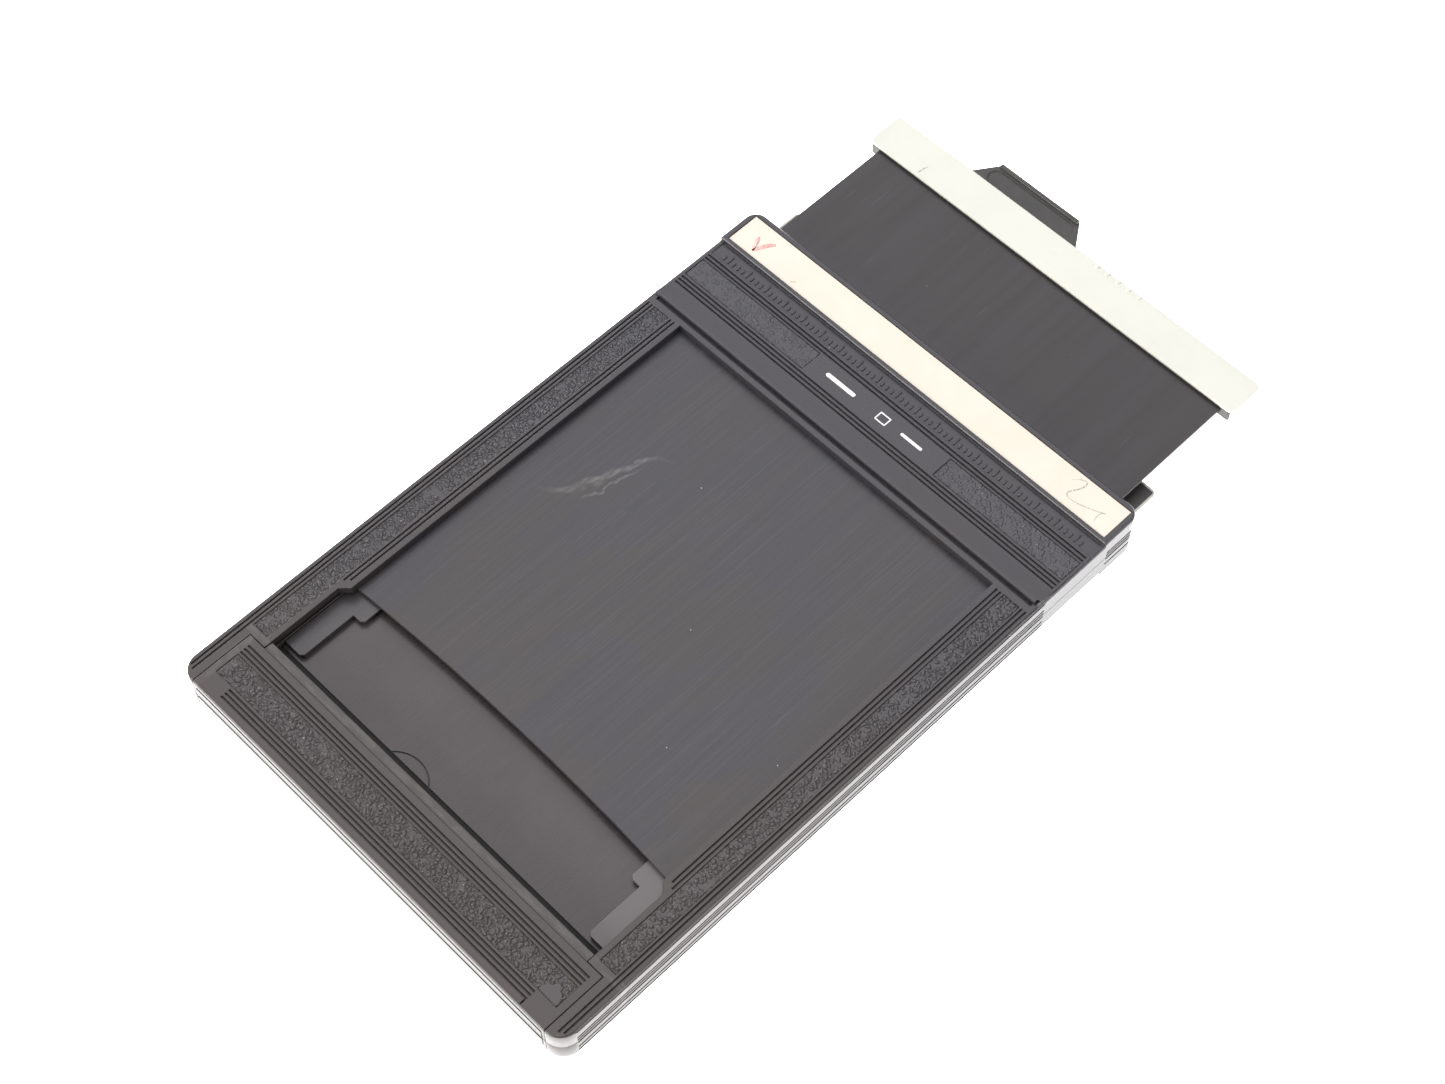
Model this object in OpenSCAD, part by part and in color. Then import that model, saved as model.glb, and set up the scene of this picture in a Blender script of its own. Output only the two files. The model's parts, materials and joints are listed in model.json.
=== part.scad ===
// Double-sided sheet film holder: a 9 x 12 cm film gate in a body of the 4 x 5 inch size.
// Millimetres. The origin is the centre of the film gate on the mid-plane between the two
// films. +X runs across the holder, +Y is the way the dark slides are pulled, and +Z points
// out of the upper face. Every lower piece is the upper one turned half a turn about Y.

/* [Body] */
// Width of the body across the rails
body_w = 120; // [119:0.5:122]
// Thickness between the two camera seating faces
body_t = 11; // [11:0.1:12]
// Distance from the gate's far edge to the end of the head
head_len = 36; // [35:0.5:38]
// Depth of the loading flap, from the near end to the gate
flap_len = 18.6; // [18:0.2:20]
// Plan radius of the two corners at the flap end
near_corner_r = 4.6; // [3:0.1:4.6]
// Plan radius of the two corners at the head end
head_corner_r = 3.4; // [2:0.1:4]
// Flat cut along the outer top edges
edge_cut = 0.35; // [0.2:0.05:0.4]

/* [Film gate] */
// Width of the gate between the rail lips
gate_w = 97.5; // [95:0.5:98]
// Length of the gate from the flap to the head
gate_len = 120; // [119:0.5:121]
// Extra width on each side of the gate in the loading bay
bay_step = 2; // [1:0.1:2.2]
// Length of the loading bay beyond the flap
bay_len = 18.4; // [16:0.2:20]
// Thickness of the central septum
septum_t = 0.64; // [0.5:0.02:0.8]
// Radius of the thumb mark at the loading end of the septum
thumb_mark_r = 8; // [6:0.5:9]

/* [Dark slides] */
// Width of a slide plate
slide_w = 106.8; // [106:0.1:107]
// Thickness of a slide plate
slide_t = 0.9; // [0.7:0.05:1]
// Hollow of the slide plate's near edge, from its corners to its middle
slide_hollow = 2.1; // [0.5:0.1:2.5]
// Depth of the slide's outer face below the seating face
slide_drop = 2.16; // [2:0.02:2.4]
// Distance that the upper slide is drawn out
upper_slide_out = 35.2; // [0:0.2:150]
// Length of the handle bar across the holder
bar_len = 113.2; // [112:0.2:114]
// Depth of the handle bar along the pull
bar_w = 10.6; // [10:0.2:12]

/* [Surface detail] */
// Width of one decorative groove
groove_w = 0.44; // [0.3:0.02:0.6]
// Depth of one decorative groove
groove_d = 0.45; // [0.2:0.05:0.5]
// Distance from one decorative groove to the next
groove_pitch = 1.06; // [1:0.01:1.2]
// Depth of the recessed grain panels
grain_d = 0.3; // [0.1:0.05:0.4]
// Height of the locating rib above the seating face
rib_h = 0.7; // [0.5:0.1:1.3]
// Height of the label frame above the seating face
label_rise = 1.1; // [0.8:0.1:1.3]

/* [Hidden] */
$fn = 64;

plastic = [0.38, 0.38, 0.39];
slide_grey = [0.33, 0.33, 0.34];
septum_brown = [0.40, 0.37, 0.37];
tape_black = [0.10, 0.10, 0.10];
felt_black = [0.06, 0.06, 0.06];
bronze = [0.72, 0.55, 0.36];
handle_black = [0.30, 0.29, 0.29];
handle_white = [0.95, 0.95, 0.91];
label_cream = [0.99, 0.97, 0.90];

// Gaps: over reaches past a face that a cut opens, clear is a sliding gap, seam is the flap's
over = 1;
clear = 0.1;
seam = 0.15;

// Places along the holder
near_y = -gate_len / 2 - flap_len;
gate_near = -gate_len / 2;
gate_far = gate_len / 2;
head_end = gate_far + head_len;
core_near = gate_far + 2;

// Heights above the mid-plane
top = body_t / 2;
septum_top = septum_t / 2;
slide_top = top - slide_drop;
slide_low = slide_top - slide_t;
channel_top = slide_top + clear;
channel_low = slide_low - clear;

// Half-widths from the middle of the holder
half_w = body_w / 2;
gate_half = gate_w / 2;
bay_half = gate_half + bay_step;
slide_half = slide_w / 2;
channel_half = slide_half + seam;
ledge_half = bay_half;
septum_half = half_w - 4;
flap_half = half_w - near_corner_r;
lip_half = bay_half - seam;

// The flap: its narrow lip, its solid hinge bar and the height of its underside
flap_lip = 2.4;
lip_gap = 0.35;
lip_step = 0.15;
lip_fall = 0.45;
hinge_bar = 4.3;
flap_under = 0.2;
cheek_low = 0.5;
hinge_y = near_y - 0.3;
tape_t = 0.15;
tape_h = 3.4;
tape_side_gap = 1;
web_t = 0.2;

// The septum's near edge, its pocket in the rails and the thumb mark
septum_near = gate_near + 1.9;
pocket_near = near_y + 8.5;
mark_x = -8.9;
mark_y = gate_near - 3.5;
mark_w = 0.4;
mark_d = 0.26;

// Bands of decoration on the rails, the flap and the head
rail_inner = gate_half + 1.4;
rail_inner_near = gate_near + bay_len + 3.2;
rail_outer = half_w - 2.65;
rail_outer_near = near_y + 2;
rail_outer_lag = -0.55;
grain_in = gate_half + 3.5;
grain_out = half_w - 3.2;
grain_near = gate_near - 0.4;
band_end = gate_far - 0.4;
flap_band_half = flap_half - 1.9;
flap_near_half = flap_half - 7.4;
flap_near_grooves = near_y + 1.95;
flap_nick_near = near_y + 0.6;
flap_nick_w = 0.3;
flap_grain_near = near_y + 5.15;
flap_grain_far = near_y + 11.2;
flap_far_grooves = near_y + 11.7;
head_band_half = half_w - 1.2;
head_near_grooves = gate_far + 8;
head_grain_near = gate_far + 11.25;
head_grain_far = gate_far + 17.25;
head_far_grooves = gate_far + 17.75;
tick_band_near = gate_far + 19.9;
print_half = 20.3;
left_flank_grooves = [0.55, 2.8, 4.4];
right_flank_grooves = [0.8, 1.95, 4.7];
flank_groove_w = 0.5;
flank_start = near_y + near_corner_r;
flank_end = gate_far + 4.4;

// Rib, groove in front of it, and label frame
rib_y = gate_far + 2.4;
rib_groove_w = 1;
rib_groove_d = 0.7;
rib_groove_end = half_w - 1.7;
rib_notch_x = rib_groove_end + 0.3;
rib_notch_w = 0.6;
rib_notch_len = 1.2;
rib_notch_d = 0.2;
rib_side_gap = 0.5;
rib_crest = 0.9;
rib_back = 5;
label_frame_near = gate_far + 24.2;
label_flank_near = label_frame_near + 1;
label_near = label_frame_near + 1;
label_far = head_end - 1.4;
label_half = half_w - 1.5;
label_recess = 0.5;
label_t = 0.3;
label_gap = 0.15;

// Light trap in the head
trap_near = gate_far + 12;
trap_len = 8;
trap_half = 52;
trap_floor = 0.9;
felt_low = 1.55;
felt_gap = 0.04;
velvet_t = 0.8;
spring_t = 0.12;
spring_chord = 7;
spring_rise = 0.5;

// Slide handle
bar_gap = 0.3;
slide_closed_near = near_y + 5;
slide_near_r = 2;
slide_far_r = 0.5;
slide_hollow_r = (slide_half * slide_half + slide_hollow * slide_hollow) / (2 * slide_hollow);
bar_near = head_end + bar_gap;
bar_far = bar_near + bar_w;
bar_half = bar_len / 2;
bar_corner_r = 1.6;
grip_near_r = 0.5;
grip_far_r = 1;
bar_low = 0.9;
cap_low = top - 1.6;
cap_high = top - 0.8;
rim = 0.7;
plate_in_bar = 6;
tab_x = -17;
tab_base = 33.2;
tab_tip = 24.6;
tab_len = 7.5;
tab_low = 1.2;
tab_high = 2.9;
tab_lip = 1.3;
tab_lip_high = 3.8;
tab_foot = 1.2;
tab_oval_len = 26;
tab_oval_w = 4.4;
tab_oval_d = 0.3;
tab_oval_y = 3.5;
tab_cut_rise = 0.4;
dot_r = 0.55;
dot_rise = 0.3;
dot_pitch = 3.2;
dot_first = 7.7;
dot_y = 0.8;
dot_root = 0.3;

// Film guide: inner edges at the loading bay and along the gate, and the film slot
guide_bay_in = 45.1;
guide_gate_in = 42.1;
guide_foot_in = 45.2;
guide_out = ledge_half - clear;
guide_near = gate_near + 2.6;
guide_step = gate_near + 17.3;
guide_far = core_near - clear;
film_slot = 0.9;
guide_lip_t = 0.7;
guide_corner = 0.8;

module turned_over() {
    rotate([0, 180, 0]) children();
}

// A block given by its low and high corners
module block(low, high) {
    translate(low) cube(high - low);
}

// A plan outline about the Y axis, with one radius at each end
module rounded_outline(half, y0, y1, r0, r1) {
    join = 0.01;
    translate([r0 - half, y0]) square([2 * (half - r0), r0 + join]);
    translate([-half, y0 + r0]) square([2 * half, y1 - y0 - r0 - r1]);
    translate([r1 - half, y1 - r1 - join]) square([2 * (half - r1), r1 + join]);
    for (side = [-1, 1]) {
        translate([side * (half - r0), y0 + r0]) circle(r = r0);
        translate([side * (half - r1), y1 - r1]) circle(r = r1);
    }
}

module rounded_plate(half, y0, y1, r0, r1, z0, z1) {
    translate([0, 0, z0]) linear_extrude(z1 - z0) rounded_outline(half, y0, y1, r0, r1);
}

// Prism that cuts the top edge of a wall whose outer face is at x = face
module edge_prism(face, y0, y1, z) {
    translate([face, y1, z]) rotate([90, 0, 0]) linear_extrude(y1 - y0) polygon([
        [-edge_cut, 0], [edge_cut, -2 * edge_cut], [edge_cut, edge_cut], [-edge_cut, edge_cut]
    ]);
}

// The same cut round a quarter corner of radius r, centred on the origin
module edge_corner(r, z) {
    intersection() {
        rotate_extrude() polygon([
            [r - edge_cut, z], [r + edge_cut, z - 2 * edge_cut], [r + edge_cut, z + edge_cut],
            [r - edge_cut, z + edge_cut]
        ]);
        block([0, 0, z - over], [r + over, r + over, z + over]);
    }
}

// The same cut along a straight edge at y = edge: outward for side 1, inward for side -1
module edge_across(edge, side, z) {
    translate([0, edge, 0]) rotate([0, 0, side * 90]) edge_prism(0, -half_w, half_w, z);
}

// Grooves across the holder, counted from the near side of the first
module cross_grooves(half, first, count) {
    for (i = [0 : count - 1])
        block([-half, first + i * groove_pitch, top - groove_d],
              [half, first + i * groove_pitch + groove_w, top + over]);
}

// Two grooves along one rail; the outer one starts nearer by lag
module rail_grooves(first, y0, lag) {
    for (i = [0, 1])
        block([first + i * groove_pitch, y0 - i * lag, top - groove_d],
              [first + i * groove_pitch + groove_w, band_end, top + over]);
}

// The gate, wider in the loading bay, with a short 45 degree step between the widths
module gate_outline() {
    bay_far = gate_near + bay_len;
    for (side = [0, 1])
        mirror([side, 0]) polygon([
            [-over, gate_near - over], [bay_half, gate_near - over], [bay_half, bay_far],
            [gate_half, bay_far + bay_step], [gate_half, gate_far], [-over, gate_far]
        ]);
}

// The bay that the closed flap fills, with its narrow mouth
module flap_bay() {
    mouth = gate_near - flap_lip;
    block([-flap_half, near_y - over, -over], [flap_half, mouth, top + over]);
    block([-bay_half, mouth - over, -over], [bay_half, gate_near, top + over]);
}

module locating_rib() {
    translate([rib_side_gap - half_w, 0, 0]) rotate([90, 0, 90])
        linear_extrude(body_w - 2 * rib_side_gap) polygon([
            [rib_y, top - over], [rib_y, top + rib_h], [rib_y + rib_crest, top + rib_h],
            [rib_y + rib_back, top], [rib_y + rib_back, top - over]
        ]);
}

// Grooves in the right-hand flank: all of them along the rail, the lower two round the head
module flank_grooves(heights) {
    low = -flank_groove_w / 2;
    inside = half_w - groove_d;
    head_start = head_end - head_corner_r;
    for (z = heights)
        block([inside, flank_start, z + low], [half_w + over, flank_end, z - low]);
    for (z = [heights[0], heights[1]]) {
        block([inside, label_flank_near, z + low], [half_w + over, head_start, z - low]);
        translate([half_w - head_corner_r, head_start, z + low]) intersection() {
            difference() {
                cylinder(r = head_corner_r + over, h = flank_groove_w);
                translate([0, 0, -over])
                    cylinder(r = head_corner_r - groove_d, h = flank_groove_w + 2 * over);
            }
            cube([head_corner_r + over, head_corner_r + over, flank_groove_w]);
        }
    }
}

// Cuts along the outer top edges of the frame and of the raised label frame
module frame_edge_cuts() {
    frame_top = top + label_rise;
    for (side = [0, 1]) mirror([side, 0, 0]) {
        edge_prism(half_w, flank_start, label_frame_near, top);
        edge_prism(half_w, label_frame_near, head_end, frame_top);
        translate([half_w - near_corner_r, flank_start, 0]) mirror([0, 1, 0])
            edge_corner(near_corner_r, top);
        translate([half_w - head_corner_r, head_end - head_corner_r, 0])
            edge_corner(head_corner_r, frame_top);
    }
    edge_across(head_end, 1, frame_top);
    edge_across(label_frame_near, -1, frame_top);
}

module frame_half() {
    frame_top = top + label_rise;
    difference() {
        union() {
            rounded_plate(half_w, near_y, head_end, near_corner_r, head_corner_r, 0, top);
            intersection() {
                rounded_plate(half_w, near_y, head_end, near_corner_r, head_corner_r,
                              0, frame_top);
                block([-half_w, label_frame_near, 0], [half_w, head_end, frame_top]);
            }
            locating_rib();
        }
        translate([0, 0, -over]) linear_extrude(top + 2 * over) gate_outline();
        flap_bay();
        // Septum pocket, ledge below the slide, slide channel and space for the head core
        block([-septum_half, pocket_near, -over], [septum_half, core_near, septum_top]);
        block([-ledge_half, gate_near - flap_lip - over, -over],
              [ledge_half, core_near, channel_low + clear]);
        block([-channel_half, gate_near - flap_lip - over, channel_low],
              [channel_half, head_end + over, channel_top]);
        block([-channel_half, core_near, -over],
              [channel_half, head_end + over, channel_low + clear]);
        // Pocket for the velvet strip above the slide
        block([-trap_half, trap_near, channel_top - clear],
              [trap_half, trap_near + trap_len, slide_top + felt_gap + velvet_t]);
        // Groove and end notch of the locating rib
        block([-rib_groove_end, rib_y - rib_groove_w, top - rib_groove_d],
              [rib_groove_end, rib_y, top + over]);
        block([rib_notch_x, rib_y, top - rib_notch_d],
              [rib_notch_x + rib_notch_w, rib_y + rib_notch_len, top + over]);
        // Recess for the writing label
        block([-label_half, label_near, frame_top - label_recess],
              [label_half, label_far, frame_top + over]);
        // Rails: inner grooves, outer grooves and grain panels
        for (side = [0, 1]) mirror([side, 0, 0]) {
            rail_grooves(rail_inner, rail_inner_near, groove_pitch);
            rail_grooves(rail_outer, rail_outer_near, rail_outer_lag);
            block([grain_in, grain_near, top - grain_d], [grain_out, band_end, top + over]);
        }
        // Head: two groups of grooves, the grain panel on both sides of the print panel, and
        // the sunk band in front of the label frame
        cross_grooves(head_band_half, head_near_grooves, 3);
        cross_grooves(head_band_half, head_far_grooves, 2);
        block([-head_band_half, tick_band_near, top - grain_d],
              [head_band_half, label_frame_near, top + over]);
        for (side = [0, 1]) mirror([side, 0, 0])
            block([print_half, head_grain_near, top - grain_d],
                  [head_band_half, head_grain_far, top + over]);
        flank_grooves(right_flank_grooves);
        mirror([1, 0, 0]) flank_grooves(left_flank_grooves);
        frame_edge_cuts();
    }
}

// Block between the two slides inside the head, with a pocket for each felt and its spring
module head_core_body() {
    difference() {
        block([-channel_half, core_near, -channel_low], [channel_half, head_end, channel_low]);
        for (turn = [0, 180]) rotate([0, turn, 0])
            block([-trap_half, trap_near, trap_floor],
                  [trap_half, trap_near + trap_len, channel_low + over]);
    }
}

// Shallow ring round the place where a thumb lifts the film
module thumb_mark() {
    translate([mark_x, mark_y, septum_top - mark_d]) difference() {
        cylinder(r = thumb_mark_r + mark_w / 2, h = mark_d + over);
        translate([0, 0, -over]) cylinder(r = thumb_mark_r - mark_w / 2, h = mark_d + 3 * over);
    }
}

module septum_sheet() {
    difference() {
        block([-septum_half + seam, septum_near, -septum_top],
              [septum_half - seam, core_near, septum_top]);
        thumb_mark();
        turned_over() thumb_mark();
    }
}

// Guide on the right-hand film edge: a foot beside the film and a lip over it
module film_guide_half() {
    lip_low = septum_top + film_slot;
    difference() {
        union() {
            block([guide_foot_in, guide_near, septum_top], [guide_out, guide_far, lip_low]);
            translate([0, 0, lip_low]) linear_extrude(guide_lip_t) polygon([
                [guide_out, guide_near], [guide_bay_in + guide_corner, guide_near],
                [guide_bay_in, guide_near + guide_corner], [guide_bay_in, guide_step],
                [guide_gate_in + guide_corner, guide_step],
                [guide_gate_in, guide_step + guide_corner],
                [guide_gate_in, guide_far], [guide_out, guide_far]
            ]);
        }
        // Relief that keeps the foot clear of the rounded lip end
        block([guide_foot_in - over, guide_near - over, septum_top - over],
              [guide_foot_in + guide_corner, guide_near + guide_corner, lip_low]);
    }
}

module flap_half_shape() {
    mouth = gate_near - flap_lip - seam;
    lip_end = gate_near - lip_gap;
    side = flap_half - seam;
    difference() {
        union() {
            block([-side, near_y, flap_under], [side, near_y + hinge_bar, top]);
            block([-side, near_y, channel_top], [side, mouth, top]);
            block([-lip_half, mouth - over, channel_top], [lip_half, lip_end, top]);
            for (x = [-side, channel_half])
                block([x, near_y, cheek_low], [x + side - channel_half, mouth, top - over]);
        }
        // Cut near edge, sloping lip, two groups of grooves, a nick and the grain panel
        edge_across(near_y, -1, top);
        rotate([90, 0, 90]) translate([0, 0, -half_w]) linear_extrude(body_w) polygon([
            [mouth, top - lip_step], [lip_end + over, top - lip_fall],
            [lip_end + over, top + over], [mouth, top + over]
        ]);
        cross_grooves(flap_near_half, flap_near_grooves, 3);
        block([flap_near_half - flap_nick_w, flap_nick_near, top - groove_d],
              [flap_near_half, flap_near_grooves + groove_w / 2, top + over]);
        cross_grooves(flap_band_half, flap_far_grooves, 3);
        block([-flap_band_half, flap_grain_near, top - grain_d],
              [flap_band_half, flap_grain_far, top + over]);
    }
}

module hinge_tape_leaf() {
    half = flap_half - tape_side_gap;
    block([-half, near_y - tape_t, flap_under], [half, near_y, tape_h]);
}

// Slide pieces are drawn closed; drawn_out moves the upper slide to where it rests
module drawn_out() {
    translate([0, upper_slide_out, 0]) children();
}

module slide_plate_shape() {
    difference() {
        rounded_plate(slide_half, slide_closed_near, bar_near + plate_in_bar,
                      slide_near_r, slide_far_r, slide_low, slide_top);
        translate([0, slide_closed_near + slide_hollow - slide_hollow_r, slide_low - over])
            cylinder(r = slide_hollow_r, h = slide_t + 2 * over, $fn = 1440);
    }
}

module tab_outline() {
    translate([tab_x, bar_far]) polygon([
        [-tab_base / 2, -rim - over], [tab_base / 2, -rim - over], [tab_base / 2, tab_foot],
        [tab_tip / 2, tab_len], [-tab_tip / 2, tab_len], [-tab_base / 2, tab_foot]
    ]);
}

module oval_outline(len, w) {
    square([len - w, w], center = true);
    for (side = [-1, 1]) translate([side * (len - w) / 2, 0]) circle(d = w);
}

// Rounded bead along the tip of the finger tab
module tab_bead() {
    bead_y = bar_far + tab_len - tab_lip;
    bead_x = tab_x - tab_tip / 2;
    bead_z = tab_lip_high - tab_lip / 2;
    block([bead_x, bead_y, tab_low], [bead_x + tab_tip, bead_y + tab_lip, bead_z]);
    translate([bead_x, bead_y + tab_lip / 2, bead_z]) rotate([0, 90, 0])
        cylinder(d = tab_lip, h = tab_tip);
}

// Inner, black half of the handle: it grips the plate and carries the finger tab
module slide_handle_shape() {
    difference() {
        union() {
            rounded_plate(bar_half - rim, bar_near, bar_far - rim, grip_near_r, grip_far_r,
                          bar_low, cap_low);
            translate([0, 0, tab_low]) linear_extrude(tab_high - tab_low) tab_outline();
            tab_bead();
        }
        block([-slide_half, bar_near - over, slide_low],
              [slide_half, bar_near + plate_in_bar, slide_top]);
        translate([tab_x, bar_far + tab_oval_y, tab_high - tab_oval_d]) linear_extrude(over)
            oval_outline(tab_oval_len, tab_oval_w);
    }
}

// Outer, white half of the handle: a tray over the black one, with five touch dots
module handle_cap_shape() {
    difference() {
        union() {
            rounded_plate(bar_half, bar_near, bar_far, bar_corner_r, bar_corner_r,
                          tab_low, cap_high);
            for (i = [0 : 4])
                translate([dot_first + i * dot_pitch, bar_far - dot_y, cap_high - dot_root])
                    cylinder(r = dot_r, h = dot_root + dot_rise, $fn = 32);
        }
        block([rim - bar_half, bar_near - over, tab_low - over],
              [bar_half - rim, bar_far - rim, cap_low]);
        block([tab_x - tab_base / 2, bar_far - rim - over, tab_low - over],
              [tab_x + tab_base / 2, bar_far + over, tab_high + tab_cut_rise]);
    }
}

module felt_shape() {
    block([-trap_half + clear, trap_near + clear, felt_low],
          [trap_half - clear, trap_near + trap_len - clear, slide_low - felt_gap]);
}

module velvet_shape() {
    block([-trap_half + clear, trap_near + clear, slide_top + felt_gap],
          [trap_half - clear, trap_near + trap_len - clear, slide_top + felt_gap + velvet_t]);
}

// Bowed strip of spring metal that lifts the felt against the slide
module felt_spring_shape() {
    bow_r = (spring_chord * spring_chord / 4 + spring_rise * spring_rise) / (2 * spring_rise);
    bow_z = trap_floor + spring_rise - bow_r;
    translate([0, trap_near + trap_len / 2, 0]) intersection() {
        translate([-trap_half + 1, 0, bow_z]) rotate([0, 90, 0]) difference() {
            cylinder(r = bow_r + spring_t, h = 2 * trap_half - 2);
            translate([0, 0, -over]) cylinder(r = bow_r, h = 2 * trap_half + over);
        }
        block([-trap_half, -spring_chord / 2, trap_floor], [trap_half, spring_chord / 2, top]);
    }
}

module writing_label_shape() {
    low = top + label_rise - label_recess;
    block([-label_half + label_gap, label_near + label_gap, low],
          [label_half - label_gap, label_far - label_gap, low + label_t]);
}

module upper_frame() { color(plastic) frame_half(); }
module lower_frame() { color(plastic) turned_over() frame_half(); }
module head_core() { color(plastic) head_core_body(); }
module septum() { color(septum_brown) septum_sheet(); }
module hinge_web() {
    half = flap_half - tape_side_gap;
    color(tape_black) block([-half, hinge_y, -web_t / 2], [half, septum_near, web_t / 2]);
}
module upper_right_film_guide() { color(plastic) film_guide_half(); }
module upper_left_film_guide() { color(plastic) mirror([1, 0, 0]) film_guide_half(); }
module lower_left_film_guide() { color(plastic) turned_over() film_guide_half(); }
module lower_right_film_guide() {
    color(plastic) turned_over() mirror([1, 0, 0]) film_guide_half();
}
module upper_flap() { color(plastic) flap_half_shape(); }
module lower_flap() { color(plastic) turned_over() flap_half_shape(); }
module upper_hinge_tape() { color(tape_black) hinge_tape_leaf(); }
module lower_hinge_tape() { color(tape_black) turned_over() hinge_tape_leaf(); }
module upper_slide_plate() { color(slide_grey) drawn_out() slide_plate_shape(); }
module lower_slide_plate() { color(slide_grey) turned_over() slide_plate_shape(); }
module upper_slide_handle() { color(handle_black) drawn_out() slide_handle_shape(); }
module lower_slide_handle() { color(handle_black) turned_over() slide_handle_shape(); }
module upper_handle_cap() { color(handle_white) drawn_out() handle_cap_shape(); }
module lower_handle_cap() { color(handle_white) turned_over() handle_cap_shape(); }
module upper_slide_felt() { color(felt_black) felt_shape(); }
module lower_slide_felt() { color(felt_black) turned_over() felt_shape(); }
module upper_felt_spring() { color(bronze) felt_spring_shape(); }
module lower_felt_spring() { color(bronze) turned_over() felt_spring_shape(); }
module upper_velvet_strip() { color(felt_black) velvet_shape(); }
module lower_velvet_strip() { color(felt_black) turned_over() velvet_shape(); }
module upper_writing_label() { color(label_cream) writing_label_shape(); }
module lower_writing_label() { color(label_cream) turned_over() writing_label_shape(); }

upper_frame();
lower_frame();
head_core();
septum();
hinge_web();
upper_left_film_guide();
upper_right_film_guide();
lower_left_film_guide();
lower_right_film_guide();
upper_flap();
lower_flap();
upper_hinge_tape();
lower_hinge_tape();
upper_slide_plate();
lower_slide_plate();
upper_slide_handle();
lower_slide_handle();
upper_handle_cap();
lower_handle_cap();
upper_slide_felt();
lower_slide_felt();
upper_felt_spring();
lower_felt_spring();
upper_velvet_strip();
lower_velvet_strip();
upper_writing_label();
lower_writing_label();
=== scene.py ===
import json
import math

import bmesh
import bpy
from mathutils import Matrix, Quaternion, Vector, noise
from mathutils.geometry import interpolate_bezier


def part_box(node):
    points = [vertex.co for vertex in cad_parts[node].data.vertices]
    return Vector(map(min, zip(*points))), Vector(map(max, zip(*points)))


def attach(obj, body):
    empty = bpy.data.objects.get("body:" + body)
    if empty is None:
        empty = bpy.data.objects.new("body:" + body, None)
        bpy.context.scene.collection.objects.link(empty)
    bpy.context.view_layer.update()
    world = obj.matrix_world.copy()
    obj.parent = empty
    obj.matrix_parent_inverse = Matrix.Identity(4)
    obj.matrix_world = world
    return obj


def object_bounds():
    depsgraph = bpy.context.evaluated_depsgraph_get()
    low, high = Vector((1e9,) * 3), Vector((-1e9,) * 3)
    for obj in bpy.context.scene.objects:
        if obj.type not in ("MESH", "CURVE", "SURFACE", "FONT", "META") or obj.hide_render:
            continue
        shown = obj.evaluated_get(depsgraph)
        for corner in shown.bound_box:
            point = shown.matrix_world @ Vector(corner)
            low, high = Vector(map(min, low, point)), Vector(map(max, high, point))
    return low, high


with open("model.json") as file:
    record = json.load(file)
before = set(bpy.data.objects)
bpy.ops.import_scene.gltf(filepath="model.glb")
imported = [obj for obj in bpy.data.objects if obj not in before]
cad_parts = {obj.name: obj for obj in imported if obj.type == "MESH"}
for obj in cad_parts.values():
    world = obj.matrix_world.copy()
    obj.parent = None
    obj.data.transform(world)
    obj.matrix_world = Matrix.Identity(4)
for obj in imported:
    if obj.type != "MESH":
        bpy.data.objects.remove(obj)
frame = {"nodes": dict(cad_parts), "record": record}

# ---------------------------------------------------------------- sizes, in metres
MM = 0.001
CAD_BOX = [list(corner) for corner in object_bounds()]

FRAME_LOW, FRAME_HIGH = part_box("upper_frame")
HALF_W = FRAME_HIGH.x
NEAR_Y = FRAME_LOW.y
FLAP_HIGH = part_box("upper_flap")[1]
SEAT_Z = FLAP_HIGH.z
LABEL_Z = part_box("upper_writing_label")[1].z

# The touch dots stand DOT_RISE above the white bar
CAP_LOW, CAP_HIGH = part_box("upper_handle_cap")
DOT_RISE = 0.3 * MM
BAR_TOP_Z = CAP_HIGH.z - DOT_RISE

# The gate starts LIP_GAP beyond the flap, and the origin is at its middle
LIP_GAP = 0.35 * MM
GATE_NEAR = FLAP_HIGH.y + LIP_GAP
GATE_FAR = -GATE_NEAR

# The recessed panels that the leather grain fills
GRAIN_DEPTH = 0.3 * MM
RAIL_GRAIN_X = (52.25 * MM, 56.8 * MM)
RAIL_GRAIN_Y = (GATE_NEAR - 0.4 * MM, GATE_FAR - 0.4 * MM)
HEAD_GRAIN_X = (20.3 * MM, 58.8 * MM)
HEAD_GRAIN_Y = (GATE_FAR + 11.25 * MM, GATE_FAR + 17.25 * MM)
FLAP_GRAIN_X = (-53.5 * MM, 53.5 * MM)
FLAP_GRAIN_Y = (NEAR_Y + 5.15 * MM, NEAR_Y + 11.2 * MM)

# ---------------------------------------------------------------- camera
CAMERA_AT = Vector((217.83, -183.64, 500.68)) * MM
CAMERA_TARGET = Vector((-2.59, 28.09, 0.0)) * MM
CAMERA_ROLL = math.radians(-0.905)
CAMERA_LENS = 65.90
CAMERA_SENSOR = 36
CAMERA_CLIP = (0.01, 20)


def make_camera():
    """Looks down at the holder from beyond its near right corner."""
    data = bpy.data.cameras.new("camera")
    data.lens = CAMERA_LENS
    data.sensor_width = CAMERA_SENSOR
    data.clip_start, data.clip_end = CAMERA_CLIP
    camera = bpy.data.objects.new("camera", data)
    bpy.context.scene.collection.objects.link(camera)
    camera.location = CAMERA_AT
    camera.rotation_mode = "QUATERNION"
    aim = (CAMERA_TARGET - CAMERA_AT).to_track_quat("-Z", "Y")
    camera.rotation_quaternion = aim @ Quaternion((0, 0, 1), CAMERA_ROLL)
    bpy.context.scene.camera = camera


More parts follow.
